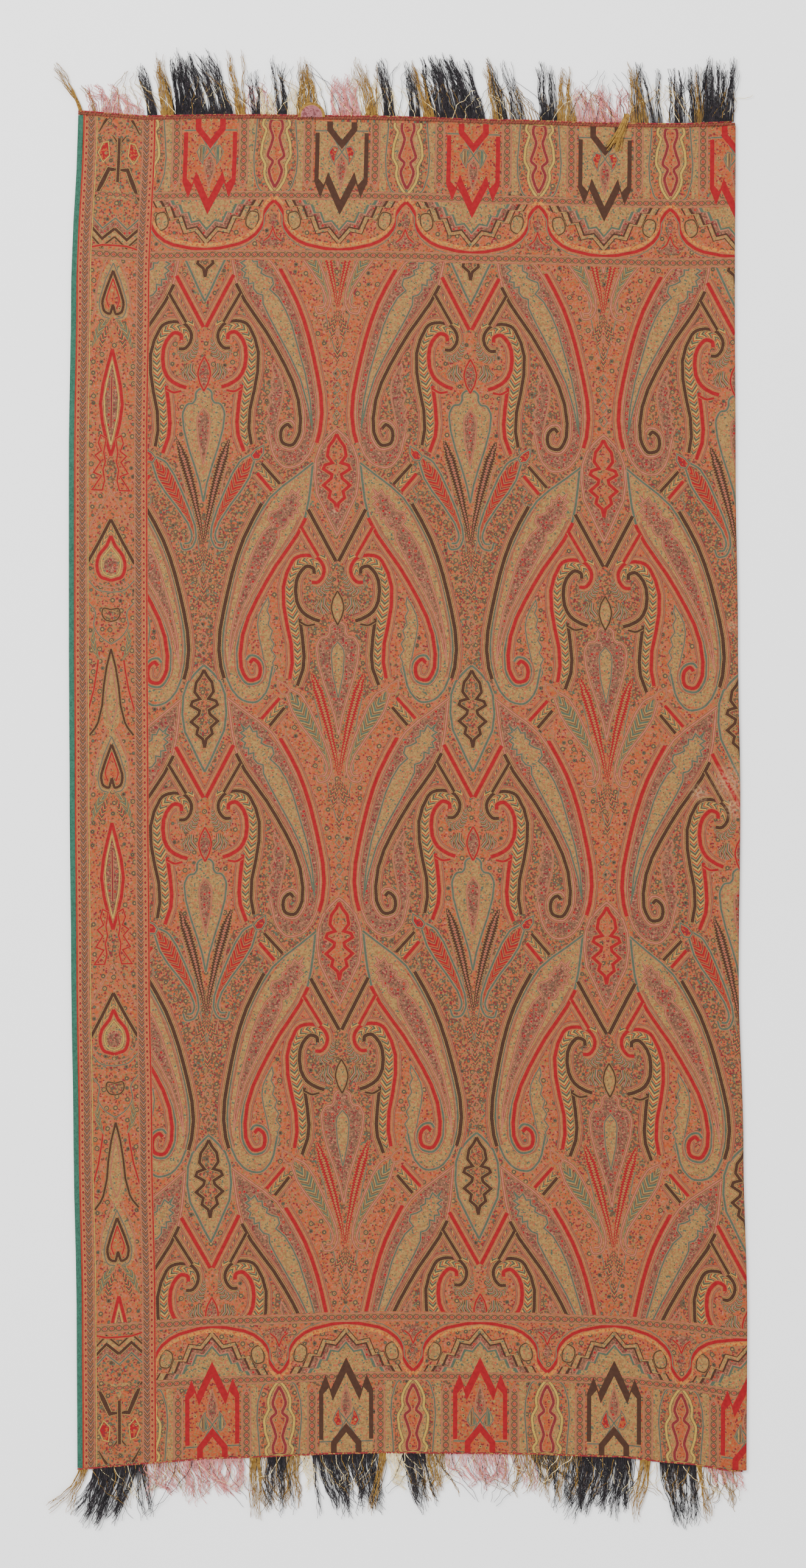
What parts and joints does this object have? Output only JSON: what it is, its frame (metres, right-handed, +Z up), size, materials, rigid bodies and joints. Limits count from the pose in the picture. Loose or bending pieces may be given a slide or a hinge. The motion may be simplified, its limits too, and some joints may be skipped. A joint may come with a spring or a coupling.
{
  "type": "paisley shawl",
  "caption": "Square woven paisley shawl folded in half and laid flat, with a green selvedge, a rolled hem and loose fringes at both ends.",
  "frame": {"origin": "on the table, at the middle of the folded cloth's flat underside", "axes": "+X across the folded shawl from its selvedges to its fold, +Y along the fold towards the hemmed end, +Z up from the table"},
  "size_m": [0.8921, 1.8869, 0.005],
  "materials": {
    "cloth": "matt twill-woven wool in madder red, brown, ochre, teal and rose",
    "selvedge": "plain green woven wool",
    "hem": "rolled wool with whipped thread",
    "fringe": "loose singles yarn with a soft sheen, in black, gold, rose and cream"
  },
  "bodies": {
    "root": {"shawl_cloth": "cloth", "selvedge_upper": "selvedge", "selvedge_under": "selvedge", "hem_roll": "hem", "fringe_top_upper": "fringe", "fringe_top_under": "fringe", "fringe_foot_upper": "fringe", "fringe_foot_under": "fringe"}
  },
  "joints": []
}
